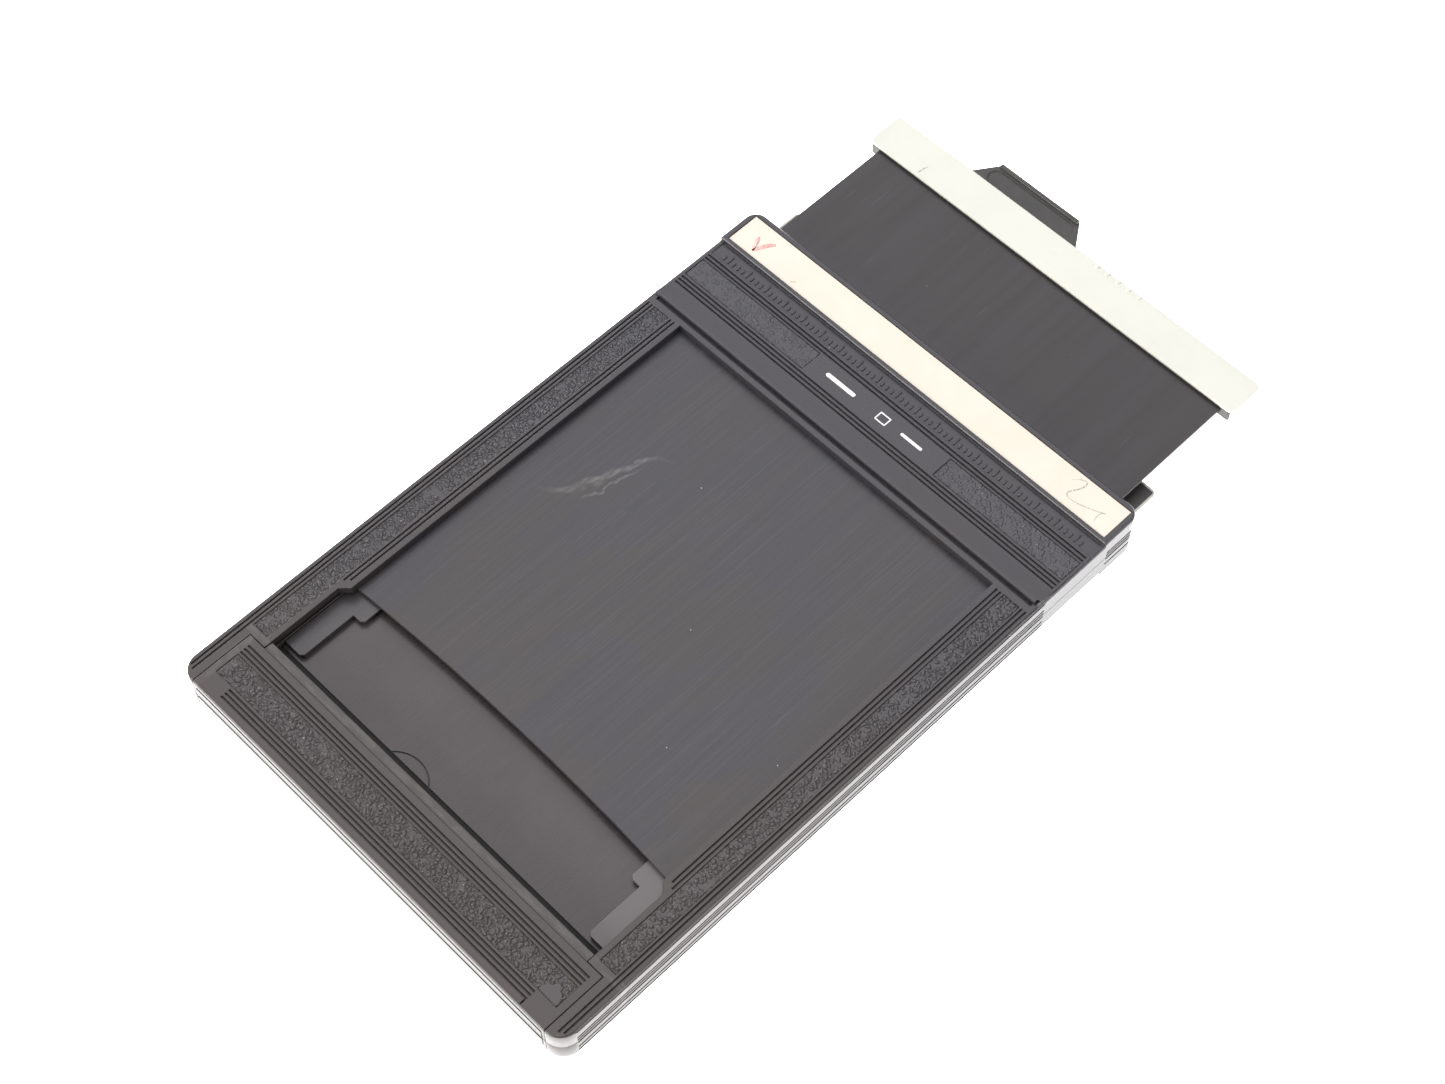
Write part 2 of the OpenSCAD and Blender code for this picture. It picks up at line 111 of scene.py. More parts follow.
# ---------------------------------------------------------------- material tools
class Tree:
    """Builds the node tree of one material. Lengths are in millimetres."""

    def __init__(self, name, **uniform):
        self.material = bpy.data.materials.new(name)
        self.material.use_nodes = True
        self.tree = self.material.node_tree
        self.shader = self.tree.nodes["Principled BSDF"]
        for socket, value in uniform.items():
            self.shader.inputs[socket.replace("_", " ")].default_value = value
        coordinate = self.node("ShaderNodeTexCoord")
        self.place = self.vector("SCALE", coordinate.outputs["Object"], scale=1 / MM)

    def node(self, kind, **settings):
        made = self.tree.nodes.new(kind)
        for name, value in settings.items():
            setattr(made, name, value)
        return made

    def join(self, value, socket):
        """Links an output to a socket, or sets the socket to a plain value."""
        if isinstance(value, bpy.types.NodeSocket):
            self.tree.links.new(value, socket)
        else:
            socket.default_value = value

    def vector(self, operation, a, b=None, scale=None):
        made = self.node("ShaderNodeVectorMath", operation=operation)
        self.join(a, made.inputs[0])
        if b is not None:
            self.join(b, made.inputs[1])
        if scale is not None:
            made.inputs["Scale"].default_value = scale
        return made.outputs["Value" if operation == "DOT_PRODUCT" else "Vector"]

    def math(self, operation, a, b=0.5, clamp=False):
        made = self.node("ShaderNodeMath", operation=operation, use_clamp=clamp)
        self.join(a, made.inputs[0])
        self.join(b, made.inputs[1])
        return made.outputs[0]

    def noise(self, per_mm, stretch=(1, 1, 1), detail=3, rough=0.55, warp=0.0):
        """Fractal noise with about per_mm features in a millimetre, times stretch."""
        made = self.node("ShaderNodeTexNoise")
        self.join(self.vector("MULTIPLY", self.place, stretch), made.inputs["Vector"])
        made.inputs["Scale"].default_value = per_mm
        made.inputs["Detail"].default_value = detail
        made.inputs["Roughness"].default_value = rough
        made.inputs["Distortion"].default_value = warp
        return made.outputs["Fac"]

    def cells(self, per_mm, stretch=(1, 1, 1), feature="F1", out="Distance"):
        made = self.node("ShaderNodeTexVoronoi", feature=feature)
        self.join(self.vector("MULTIPLY", self.place, stretch), made.inputs["Vector"])
        made.inputs["Scale"].default_value = per_mm
        return made.outputs[out]

    def band(self, value, low, high, to=(0, 1)):
        """Maps low..high smoothly to the two values of to."""
        made = self.node("ShaderNodeMapRange", interpolation_type="SMOOTHSTEP")
        self.join(value, made.inputs["Value"])
        made.inputs["From Min"].default_value = low
        made.inputs["From Max"].default_value = high
        made.inputs["To Min"].default_value = to[0]
        made.inputs["To Max"].default_value = to[1]
        return made.outputs["Result"]

    def mix(self, share, a, b):
        made = self.node("ShaderNodeMix", data_type="RGBA")
        self.join(share, made.inputs["Factor"])
        self.join(a, made.inputs["A"])
        self.join(b, made.inputs["B"])
        return made.outputs["Result"]

    def axis(self, name):
        made = self.node("ShaderNodeSeparateXYZ")
        self.join(self.place, made.inputs[0])
        return made.outputs[name]

    def edges(self, radius, softness=0.35):
        """1 on sharp edges and 0 on flat faces, found with the Bevel node."""
        bevel = self.node("ShaderNodeBevel", samples=4)
        bevel.inputs["Radius"].default_value = radius * MM
        geometry = self.node("ShaderNodeNewGeometry")
        level = self.vector("DOT_PRODUCT", bevel.outputs["Normal"], geometry.outputs["Normal"])
        return self.band(level, 1.0, 1.0 - softness)

    def open_sky(self, reach):
        """1 on open faces, falling toward 0 in grooves and creases narrower than reach."""
        made = self.node("ShaderNodeAmbientOcclusion", samples=6, only_local=True)
        made.inputs["Distance"].default_value = reach * MM
        return made.outputs["AO"]

    def rounded(self, radius):
        """Normals that turn smoothly across sharp edges."""
        made = self.node("ShaderNodeBevel", samples=4)
        made.inputs["Radius"].default_value = radius * MM
        return made.outputs["Normal"]

    def bump(self, height, distance, strength=1.0, normal=None):
        made = self.node("ShaderNodeBump")
        made.inputs["Strength"].default_value = strength
        made.inputs["Distance"].default_value = distance * MM
        self.join(height, made.inputs["Height"])
        if normal is not None:
            self.join(normal, made.inputs["Normal"])
        return made.outputs["Normal"]

    def finish(self, colour=None, roughness=None, normal=None):
        if colour is not None:
            self.join(colour, self.shader.inputs["Base Color"])
        if roughness is not None:
            self.join(roughness, self.shader.inputs["Roughness"])
        if normal is not None:
            self.join(normal, self.shader.inputs["Normal"])
        return self.material


# Places of wear, and of the slide's painted shade, in millimetres like everything inside a
# material
NEAR_END = NEAR_Y / MM
OUTER_SIDE = HALF_W / MM
FLAP_LIP_Y = (GATE_NEAR / MM - 2.2, GATE_NEAR / MM - 0.5)
FLAP_SEAM_X = (-55.6, -53.6)
SMEAR_AT = (-32.0, 20.7)
SMEAR_LEAN = 0.15
SMEAR_CURVE = 0.0025
SMEAR_SWAY = 6.0
# Where the slide's painted shade starts and reaches full depth along Y
PAINTED_SHADE_END_Y = (85.0, 105.0)
# Radians of the tape's weave in a millimetre
WEAVE_TURN = 18.0


def grey(value, warm=0.0):
    """A near-neutral colour; warm above 0 leans to brown and below 0 to blue."""
    return (value * (1 + warm), value, value * (1 - warm), 1)


def tint(green, red, blue):
    """A dark grey given by its green, with red and blue as multiples of it."""
    return (green * red, green, green * blue, 1)


def dust(t, colour, amount=0.12, per_mm=0.3):
    """Sparse pale specks over a colour."""
    speck = t.band(t.cells(per_mm), 0.045, 0.03)
    chosen = t.band(t.cells(per_mm, out="Color"), 1 - amount, 1 - amount + 0.01)
    return t.mix(t.math("MULTIPLY", speck, chosen), colour, grey(0.5, 0.03))


def warmth(t):
    """0 toward the head and the left, where the plastic is cooler, and 1 toward the flap."""
    slant = t.math("SUBTRACT", t.math("MULTIPLY", t.axis("X"), 0.5), t.axis("Y"))
    drift = t.math("ADD", slant, t.math("MULTIPLY", t.noise(0.05, detail=4), 120.0))
    return t.band(drift, -50.0, 150.0)


def between(t, value, low, high, soft=0.3):
    """1 where value lies between low and high, fading over soft."""
    rise = t.band(value, low - soft, low + soft)
    return t.math("MULTIPLY", rise, t.band(value, high + soft, high - soft))


def scuffs(t):
    """1 on rubbed places: the flap's inner lip, and both sides of its left-hand seam."""
    x, y = t.axis("X"), t.axis("Y")
    lip = t.math("MULTIPLY", between(t, y, FLAP_LIP_Y[0], FLAP_LIP_Y[1]),
                 t.band(t.noise(0.35, (0.5, 2, 1), 6, 0.75), 0.42, 0.62, (0.1, 0.8)))
    near = t.band(y, FLAP_LIP_Y[1], FLAP_LIP_Y[0])
    seam = t.math("MULTIPLY", between(t, x, FLAP_SEAM_X[0], FLAP_SEAM_X[1], 0.6),
                  t.band(t.noise(0.3, (1, 0.6, 1), 5, 0.7), 0.35, 0.6, (0.15, 0.9)))
    return t.math("MAXIMUM", lip, t.math("MULTIPLY", seam, near))


# ---------------------------------------------------------------- materials
def body_plastic():
    """Charcoal moulded plastic, satin, rubbed paler and browner along its edges."""
    t = Tree("body_plastic", Metallic=0.0, IOR=1.5)
    mottle = t.noise(1.6, detail=5, rough=0.65)
    base = t.mix(warmth(t), tint(0.026, 1.02, 1.28), tint(0.031, 1.22, 0.94))
    base = t.mix(t.band(mottle, 0.4, 0.75, (0, 0.3)), base, tint(0.055, 1.08, 1.05))
    # Rub marks: pale streaks that follow the long edges
    rub = t.math("MULTIPLY", t.band(t.noise(0.5, (6, 0.12, 3), 4), 0.58, 0.78),
                 t.band(t.noise(0.06), 0.45, 0.65))
    base = t.mix(t.math("MULTIPLY", rub, 0.3), base, grey(0.11, 0.05))
    base = t.mix(t.math("MULTIPLY", scuffs(t), 0.75), base, tint(0.09, 1.1, 0.92))
    brown = t.band(t.axis("Y"), NEAR_END + 4.5, NEAR_END + 1.5, (0, 0.7))
    base = t.mix(brown, base, tint(0.034, 1.3, 0.88))
    wear = t.math("MULTIPLY", t.edges(0.3), t.band(t.noise(0.9, detail=5), 0.3, 0.62))
    colour = t.mix(t.math("MULTIPLY", wear, 0.6), base, grey(0.16, 0.09))
    # Painted shade: grooves and creases are darkened toward black by their ambient occlusion,
    # and made rougher there so they stay dull
    painted_shade_ao = t.open_sky(0.6)
    colour = t.mix(t.band(painted_shade_ao, 0.25, 0.6), grey(0.01), colour)
    shine = t.band(mottle, 0.2, 0.8, (0.27, 0.38))
    rough = t.math("ADD", shine, t.band(painted_shade_ao, 0.6, 0.3, (0, 0.6)), clamp=True)
    # The outermost edges are worn round; the fine grooves stay crisp
    x, y = t.math("ABSOLUTE", t.axis("X")), t.axis("Y")
    rim = t.math("MAXIMUM", t.band(x, OUTER_SIDE - 0.7, OUTER_SIDE - 0.5),
                 t.band(y, NEAR_END + 0.7, NEAR_END + 0.5))
    plain = t.node("ShaderNodeNewGeometry").outputs["Normal"]
    fine = t.bump(t.noise(7, detail=2), 0.008, 0.3, t.mix(rim, plain, t.rounded(0.4)))
    normal = t.bump(mottle, 0.02, 0.3, fine)
    return t.finish(dust(t, colour), rough, normal)


def grain_plastic():
    """The same plastic on the leather-grained strips, shinier on the grain's tops."""
    t = Tree("grain_plastic", Metallic=0.0, IOR=1.52)
    mottle = t.noise(2.5, detail=4, rough=0.6)
    base = t.mix(warmth(t), tint(0.029, 1.0, 1.26), tint(0.036, 1.16, 1.02))
    base = t.mix(t.band(mottle, 0.45, 0.8, (0, 0.15)), base, grey(0.07, 0.03))
    painted_shade_ao = t.open_sky(0.5)
    # Painted shade: the creases between the pebbles are darkened by their ambient occlusion
    colour = t.mix(t.band(painted_shade_ao, 0.5, 0.9), grey(0.005), base)
    shine = t.band(mottle, 0.2, 0.8, (0.17, 0.27))
    rough = t.math("ADD", shine, t.band(painted_shade_ao, 0.9, 0.5, (0, 0.6)), clamp=True)
    normal = t.bump(t.noise(6, detail=3), 0.01, 0.4)
    return t.finish(dust(t, colour), rough, normal)


def guide_plastic():
    """Paler, smoother plastic of the film guides."""
    t = Tree("guide_plastic", Metallic=0.0, IOR=1.5)
    cloud = t.noise(0.12, detail=4, rough=0.5)
    side = t.math("ADD", t.axis("X"), t.math("MULTIPLY", cloud, 12.0))
    base = t.mix(t.band(side, -20.0, 30.0), tint(0.046, 1.06, 1.06), tint(0.1, 1.1, 1.04))
    wear = t.math("MULTIPLY", t.edges(0.2), t.band(t.noise(1.2, detail=4), 0.35, 0.7))
    colour = t.mix(t.math("MULTIPLY", wear, 0.5), base, grey(0.18, 0.06))
    rough = t.band(t.noise(0.9, (1, 0.1, 1), 4), 0.2, 0.8, (0.28, 0.38))
    return t.finish(dust(t, colour), rough, t.bump(t.noise(4, detail=3), 0.01, 0.5))


def smear(t):
    """Share of a pale rubbed streak: a bent, wavering strand with a finer one beside it."""
    along = t.math("SUBTRACT", t.axis("Y"), SMEAR_AT[1])
    bend = t.math("MULTIPLY", t.math("POWER", along, 3.0), SMEAR_CURVE)
    bend = t.math("ADD", bend, t.math("MULTIPLY", along, SMEAR_LEAN))
    sway = t.math("MULTIPLY", t.math("SUBTRACT", t.noise(0.14, detail=2), 0.5), SMEAR_SWAY)
    across = t.math("SUBTRACT", t.axis("X"), SMEAR_AT[0])
    across = t.math("SUBTRACT", across, t.math("ADD", bend, sway))
    fibre = t.band(t.noise(0.9, (1.6, 0.25, 1), 5, 0.7), 0.35, 0.65, (0.15, 0.9))
    main = t.math("MULTIPLY", t.band(t.math("ABSOLUTE", across), 1.15, 0.2),
                  t.band(t.math("ABSOLUTE", along), 14.0, 8.0))
    beside = t.math("ABSOLUTE", t.math("SUBTRACT", across, 2.3))
    fine = t.math("MULTIPLY", t.band(beside, 0.5, 0.1),
                  t.band(t.math("ABSOLUTE", t.math("ADD", along, 1.0)), 8.0, 5.0))
    return t.math("MULTIPLY", t.math("MAXIMUM", main, fine), fibre)


def slide_sheet():
    """Thin dark slide sheet: fine lengthwise drawing lines, handling scratches and dust."""
    t = Tree("slide_sheet", Metallic=0.0, IOR=1.48)
    lines = t.noise(2.2, (1, 0.012, 1), 5, 0.7)
    streaks = t.noise(0.45, (1, 0.03, 1), 5, 0.65)
    base = t.mix(warmth(t), tint(0.027, 1.0, 1.26), tint(0.034, 1.16, 0.98))
    # Cool patches, then streaks, lines and a fine grain over them
    cool = t.band(t.noise(0.045, (1, 0.6, 1), 4, 0.6), 0.46, 0.62, (0, 0.65))
    base = t.mix(cool, base, tint(0.029, 0.95, 1.5))
    base = t.mix(t.band(streaks, 0.35, 0.65, (0, 0.38)), base, tint(0.052, 1.1, 0.98))
    base = t.mix(t.band(lines, 0.45, 0.7, (0, 0.34)), base, tint(0.064, 1.04, 1.06))
    base = t.mix(t.band(t.noise(2.6, detail=4, rough=0.7), 0.5, 0.75, (0, 0.3)), base,
                 tint(0.062, 1.06, 1.02))
    # Painted shade: the end by the handle, clear of the head, is darkened for the dimmer
    # reflection it shows there
    painted_shade_end = t.band(t.axis("Y"), PAINTED_SHADE_END_Y[0], PAINTED_SHADE_END_Y[1], (0, 0.9))
    base = t.mix(painted_shade_end, base, tint(0.015, 1.2, 1.1))
    scratch = t.band(t.noise(1.4, (1, 0.05, 1), 1, warp=0.4), 0.74, 0.76, (0, 0.12))
    colour = t.mix(scratch, base, grey(0.12, 0.0))
    colour = t.mix(t.math("MULTIPLY", smear(t), 0.8), colour, grey(0.15, 0.02))
    edge = t.math("MULTIPLY", t.edges(0.15), 0.5)
    colour = t.mix(edge, colour, grey(0.12, 0.03))
    rough = t.band(streaks, 0.3, 0.7, (0.34, 0.46))
    normal = t.bump(lines, 0.008, 0.4, t.bump(t.noise(3, detail=3), 0.01, 0.6))
    return t.finish(dust(t, colour, 0.14), rough, normal)


def septum_sheet():
    """Brown-grey painted sheet behind the film, with soft streaks along the pull."""
    t = Tree("septum_sheet", Metallic=0.0, IOR=1.48)
    streak = t.noise(0.9, (1, 0.16, 1), 5, 0.65)
    cloud = t.noise(0.06, detail=4)
    base = t.mix(t.band(cloud, 0.3, 0.7), tint(0.036, 1.15, 1.06), tint(0.042, 1.19, 1.02))
    colour = t.mix(t.band(streak, 0.4, 0.75, (0, 0.3)), base, tint(0.064, 1.1, 1.08))
    painted_shade_ao = t.open_sky(0.7)
    # Painted shade: the sheet's own grooves are darkened by their ambient occlusion
    colour = t.mix(t.band(painted_shade_ao, 0.3, 0.8), grey(0.006), colour)
    shine = t.band(streak, 0.2, 0.8, (0.25, 0.33))
    rough = t.math("ADD", shine, t.band(painted_shade_ao, 0.8, 0.3, (0, 0.6)), clamp=True)
    return t.finish(dust(t, colour), rough, t.bump(streak, 0.008, 0.35))


def hinge_cloth():
    """Black woven tape: dull inside the hinge, rubbed shiny on the outside of the end."""
    t = Tree("hinge_cloth", Metallic=0.0)
    weave = t.math("MULTIPLY", t.math("SINE", t.math("MULTIPLY", t.axis("X"), WEAVE_TURN)),
                   t.math("SINE", t.math("MULTIPLY", t.axis("Z"), WEAVE_TURN)))
    outside = t.band(t.axis("Y"), NEAR_END + 1.0, NEAR_END + 0.4)
    inner = t.mix(t.band(weave, -0.6, 0.6), grey(0.008), grey(0.02, 0.03))
    outer = t.mix(t.band(weave, -0.6, 0.6), grey(0.03), grey(0.05, 0.06))
    rough = t.band(outside, 0, 1, (0.9, 0.3))
    return t.finish(t.mix(outside, inner, outer), rough, t.bump(weave, 0.02, 0.5))


def trap_felt():
    """Black felt pile."""
    t = Tree("trap_felt", Metallic=0.0, Roughness=0.95)
    pile = t.noise(6, detail=6, rough=0.8)
    colour = t.mix(t.band(pile, 0.35, 0.7), grey(0.008), grey(0.035, 0.02))
    return t.finish(colour, None, t.bump(pile, 0.1, 0.9))


def spring_bronze():
    """Rolled phosphor bronze strip."""
    t = Tree("spring_bronze", Metallic=1.0)
    rolled = t.noise(2, (0.03, 1, 1), 4)
    colour = t.mix(t.band(rolled, 0.3, 0.7), (0.45, 0.27, 0.12, 1), (0.62, 0.4, 0.2, 1))
    rough = t.band(rolled, 0.3, 0.7, (0.25, 0.4))
    return t.finish(colour, rough)


def handle_black():
    """Dark moulding of the handle's inner half, faintly brown and finely pitted."""
    t = Tree("handle_black", Metallic=0.0, IOR=1.5)
    cloud = t.noise(0.2, detail=4)
    pits = t.noise(3.5, detail=4, rough=0.7)
    base = t.mix(t.band(cloud, 0.3, 0.7), grey(0.034, 0.02), grey(0.044, 0.06))
    wear = t.math("MULTIPLY", t.edges(0.3), t.band(pits, 0.35, 0.65))
    colour = t.mix(t.math("MULTIPLY", wear, 0.6), base, (0.14, 0.12, 0.11, 1))
    rough = t.band(pits, 0.2, 0.8, (0.38, 0.52))
    return t.finish(dust(t, colour), rough, t.bump(pits, 0.04, 0.5))


def handle_white():
    """Slightly ivory gloss plastic with faint grime and a few fine scratches."""
    t = Tree("handle_white", Metallic=0.0, IOR=1.5)
    cloud = t.noise(0.08, detail=4)
    base = t.mix(t.band(cloud, 0.3, 0.7), (0.62, 0.64, 0.575, 1), (0.65, 0.66, 0.595, 1))
    grime = t.band(t.noise(0.5, (0.4, 1, 1), 5, 0.7), 0.62, 0.8, (0, 0.1))
    colour = t.mix(grime, base, (0.58, 0.57, 0.48, 1))
    scratch = t.band(t.noise(0.8, (0.1, 1.6, 1), 1, warp=0.6), 0.74, 0.76, (0, 0.12))
    colour = t.mix(scratch, colour, (0.5, 0.46, 0.4, 1))
    rough = t.band(t.noise(0.7, detail=4), 0.2, 0.8, (0.28, 0.4))
    return t.finish(colour, rough, t.bump(t.noise(1.5, detail=2), 0.006, 0.4))


def label_card():
    """Cream writing strip, with paper tooth and a little yellowing in flecks of its fibre."""
    t = Tree("label_card", Metallic=0.0, Roughness=0.6)
    fibre = t.noise(2.4, (1, 0.6, 1), 6, 0.7)
    cloud = t.noise(0.09, detail=3)
    base = t.mix(t.band(cloud, 0.3, 0.7), (0.7, 0.66, 0.57, 1), (0.73, 0.69, 0.6, 1))
    colour = t.mix(t.band(fibre, 0.55, 0.8, (0, 0.3)), base, (0.68, 0.63, 0.53, 1))
    return t.finish(colour, None, t.bump(fibre, 0.02, 0.4))


def white_print():
    """Opaque white ink, thin and slightly broken."""
    t = Tree("white_print", Metallic=0.0)
    broken = t.noise(4, detail=5, rough=0.7)
    colour = t.mix(t.band(broken, 0.3, 0.5), grey(0.5), grey(0.82))
    return t.finish(colour, t.band(broken, 0.3, 0.7, (0.4, 0.6)))


CARD = (0.74, 0.7, 0.62, 1)
RED_LEAD = (0.74, 0.2, 0.23, 1)
GREY_LEAD = (0.22, 0.2, 0.18, 1)


def pencil(name, colour, share):
    """Soft pencil whose grains hide at most this share of the card below."""
    t = Tree(name, Metallic=0.0, Roughness=0.7)
    tooth = t.band(t.noise(3.5, detail=5, rough=0.8), 0.42, 0.58, (0, share))
    return t.finish(t.mix(tooth, CARD, colour))


def floor_material():
    """White table top, lit from below as well, and clear when seen from underneath."""
    t = Tree("white_table", Metallic=0.0, Roughness=0.9)
    t.shader.inputs["Base Color"].default_value = (0.9, 0.9, 0.9, 1)
    t.shader.inputs["Emission Color"].default_value = (1, 1, 1, 1)
    t.shader.inputs["Emission Strength"].default_value = FLOOR_GLOW
    geometry = t.node("ShaderNodeNewGeometry")
    clear = t.node("ShaderNodeBsdfTransparent")
    mixed = t.node("ShaderNodeMixShader")
    t.join(geometry.outputs["Backfacing"], mixed.inputs["Fac"])
    t.join(t.shader.outputs[0], mixed.inputs[1])
    t.join(clear.outputs[0], mixed.inputs[2])
    t.join(mixed.outputs[0], t.tree.nodes["Material Output"].inputs["Surface"])
    return t.material


# ---------------------------------------------------------------- CAD nodes
# Width of the rounded edges of each node, in millimetres
BEVELS = {
    "upper_frame": 0.12, "lower_frame": 0.12, "upper_flap": 0.12, "lower_flap": 0.12,
    "upper_slide_plate": 0.12, "lower_slide_plate": 0.12,
    "upper_slide_handle": 0.16, "lower_slide_handle": 0.16,
    "upper_handle_cap": 0.16, "lower_handle_cap": 0.16,
    "upper_left_film_guide": 0.1, "upper_right_film_guide": 0.1,
    "lower_left_film_guide": 0.1, "lower_right_film_guide": 0.1,
    "upper_writing_label": 0.05, "lower_writing_label": 0.05,
}
BEVEL_ANGLE = math.radians(34)
BEVEL_SEGMENTS = 2
WELD_DISTANCE = 0.001 * MM


def dress_cad_nodes(materials):
    """Gives each CAD node its material by slot, and rounds the sharp edges."""
    for entry in frame["record"]["subparts"]:
        piece = frame["nodes"][entry["node"]]
        for slot in piece.material_slots:
            slot.material = materials[entry["material_slot"]]
        if entry["node"] in BEVELS:
            weld = piece.modifiers.new("weld", "WELD")
            weld.merge_threshold = WELD_DISTANCE
            bevel = piece.modifiers.new("bevel", "BEVEL")
            bevel.width = BEVELS[entry["node"]] * MM
            bevel.segments = BEVEL_SEGMENTS
            bevel.limit_method = "ANGLE"
            bevel.angle_limit = BEVEL_ANGLE
            bevel.use_clamp_overlap = False
            bevel.loop_slide = False


# ---------------------------------------------------------------- new pieces
def add_piece(name, mesh, material, body):
    """Puts a mesh in the scene as a visual piece that rides on a body."""
    mesh.materials.append(material)
    piece = bpy.data.objects.new(name, mesh)
    bpy.context.scene.collection.objects.link(piece)
    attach(piece, body)
    return piece


def turned(point, lower):
    """The point itself, or where half a turn about Y takes it for the lower side."""
    return Vector((-point[0], point[1], -point[2])) if lower else Vector(point)


def relief_slab(name, x_range, y_range, floor, height, step, lower):
    """A closed slab on floor whose top follows height(x, y), all in metres."""
    nx = max(2, round((x_range[1] - x_range[0]) / step))
    ny = max(2, round((y_range[1] - y_range[0]) / step))
    points, faces = [], []
    for j in range(ny + 1):
        y = y_range[0] + (y_range[1] - y_range[0]) * j / ny
        for i in range(nx + 1):
            x = x_range[0] + (x_range[1] - x_range[0]) * i / nx
            points.append(turned((x, y, floor + height(x, y)), lower))
    row = nx + 1
    for j in range(ny):
        for i in range(nx):
            a = j * row + i
            faces.append((a, a + 1, a + row + 1, a + row))
    rim = (list(range(nx)) + [j * row + nx for j in range(ny)]
           + [ny * row + i for i in range(nx, 0, -1)] + [j * row for j in range(ny, 0, -1)])
    base = len(points)
    for k in rim:
        top_point = points[k]
        points.append(Vector((top_point.x, top_point.y, -floor if lower else floor)))
    for k in range(len(rim)):
        after = (k + 1) % len(rim)
        faces.append((rim[k], base + k, base + after, rim[after]))
    faces.append(tuple(base + k for k in reversed(range(len(rim)))))
    mesh = bpy.data.meshes.new(name)
    mesh.from_pydata(points, [], faces)
    for face in mesh.polygons[:nx * ny]:
        face.use_smooth = True
    return mesh


def smooth_step(value, low, high):
    """0 at low and 1 at high, easing in and out between them."""
    share = min(1.0, max(0.0, (value - low) / (high - low)))
    return share * share * (3 - 2 * share)


PEBBLES_PER_MM = 0.92
GRAIN_STEP = 0.11 * MM
GRAIN_START = Vector((3.1, 7.7, 0.0))
# noise_vector takes its offsets from this seed, and without one from the clock
NOISE_SEED = 5
PANEL_RIM = 0.22 * MM
PANEL_RIM_HEIGHT = 0.35
WORN_HEIGHT = 0.92


def leather(x, y):
    """Height of the moulded grain, 0 to 1: small domed pebbles between fine creases."""
    p = Vector((x / MM, y / MM, 0)) * PEBBLES_PER_MM + GRAIN_START
    p += 0.4 * noise.noise_vector(p * 0.8)
    near, after = noise.voronoi(p)[0][:2]
    crease = smooth_step(after - near, 0.03, 0.3)
    dome = max(0.0, 1 - 2.7 * near * near)
    size = 0.93 + 0.12 * noise.noise(p * 0.6 + Vector((0, 0, 5)))
    return min(1.0, size * (0.5 * crease + 0.5 * dome))


def grain_height(x_range, y_range, relief, wear):
    """Grain that sinks at the panel's rim and flattens where wear(x, y) nears 1."""
    def height(x, y):
        rim = min(x - x_range[0], x_range[1] - x, y - y_range[0], y_range[1] - y)
        rise = smooth_step(rim, -0.01 * MM, PANEL_RIM)
        flat = wear(x, y)
        grain = leather(x, y) * (1 - flat) + WORN_HEIGHT * flat
        share = PANEL_RIM_HEIGHT + (1 - PANEL_RIM_HEIGHT) * rise
        return GRAIN_DEPTH * (1 - relief * (1 - grain)) * share
    return height


def no_wear(x, y):
    return 0.0


# The smooth patch on the flap, in millimetres
FLAP_PATCH = Vector((50.2, -73.4))
FLAP_PATCH_REACH = 3.2


def flap_wear(x, y):
    """The flap's panel is smooth at its near right corner and a little rubbed at the left."""
    blotch = 1.6 * noise.noise(Vector((x / MM, y / MM, 9)) * 0.7)
    away = (Vector((x / MM, y / MM)) - FLAP_PATCH).length + blotch
    left = smooth_step(-x / MM + 3 * blotch, 50, 54.5)
    return max(smooth_step(FLAP_PATCH_REACH - away, -0.3, 0.3), 0.6 * left)


# Name, extents and relief of the grain panels at each side of the body, and the flap's relief
BODY_PANELS = (
    ("rail", RAIL_GRAIN_X, RAIL_GRAIN_Y, 0.85),
    ("head", HEAD_GRAIN_X, HEAD_GRAIN_Y, 0.5),
)
FLAP_RELIEF = 1.0


def add_grain(materials):
    """Fills every recessed panel of the rails, the head and the flaps with leather grain."""
    noise.seed_set(NOISE_SEED)
    for lower in (False, True):
        side = "lower" if lower else "upper"
        strips = []
        for x_sign, hand in ((-1, "left"), (1, "right")):
            for label, x_range, y_range, relief in BODY_PANELS:
                ends = sorted(x_sign * x for x in x_range)
                strips.append((f"{side}_{label}_grain_{hand}", ends, y_range, relief, no_wear,
                               "holder_body"))
        strips.append((f"{side}_flap_grain", FLAP_GRAIN_X, FLAP_GRAIN_Y, FLAP_RELIEF, flap_wear,
                       f"{side}_loading_flap"))
        for name, x_range, y_range, relief, wear, body in strips:
            height = grain_height(x_range, y_range, relief, wear)
            mesh = relief_slab(name, x_range, y_range, SEAT_Z - GRAIN_DEPTH, height, GRAIN_STEP,
                               lower)
            add_piece(name, mesh, materials["grain_plastic"], body)


# Each ring's share of the outline and of the height, from the foot to the domed top
DOME_RINGS = ((1.0, 0.0), (1.0, 0.45), (0.8, 0.85), (0.45, 1.0))
ROUND_END_STEPS = 8


def capsule(builder, centre, length, width, height, along_y, lower):
    """A raised stadium with a domed edge, standing on a face at centre."""
    straight = (length - width) / 2
    loops = []
    for shrink, rise in DOME_RINGS:
        loop = []
        for end in (1, -1):
            for k in range(ROUND_END_STEPS + 1):
                turn = math.pi * k / ROUND_END_STEPS - math.pi / 2
                a = end * (straight + math.cos(turn) * width / 2 * shrink)
                b = end * math.sin(turn) * width / 2 * shrink
                x, y = (b, a) if along_y else (a, b)
                point = (centre[0] + x, centre[1] + y, centre[2] + rise * height)
                loop.append(builder.verts.new(turned(point, lower)))
        loops.append(loop)
    count = len(loops[0])
    for low, high in zip(loops, loops[1:]):
        for k in range(count):
            after = (k + 1) % count
            builder.faces.new((low[k], low[after], high[after], high[k]))
    builder.faces.new(loops[-1])
    builder.faces.new(tuple(reversed(loops[0])))


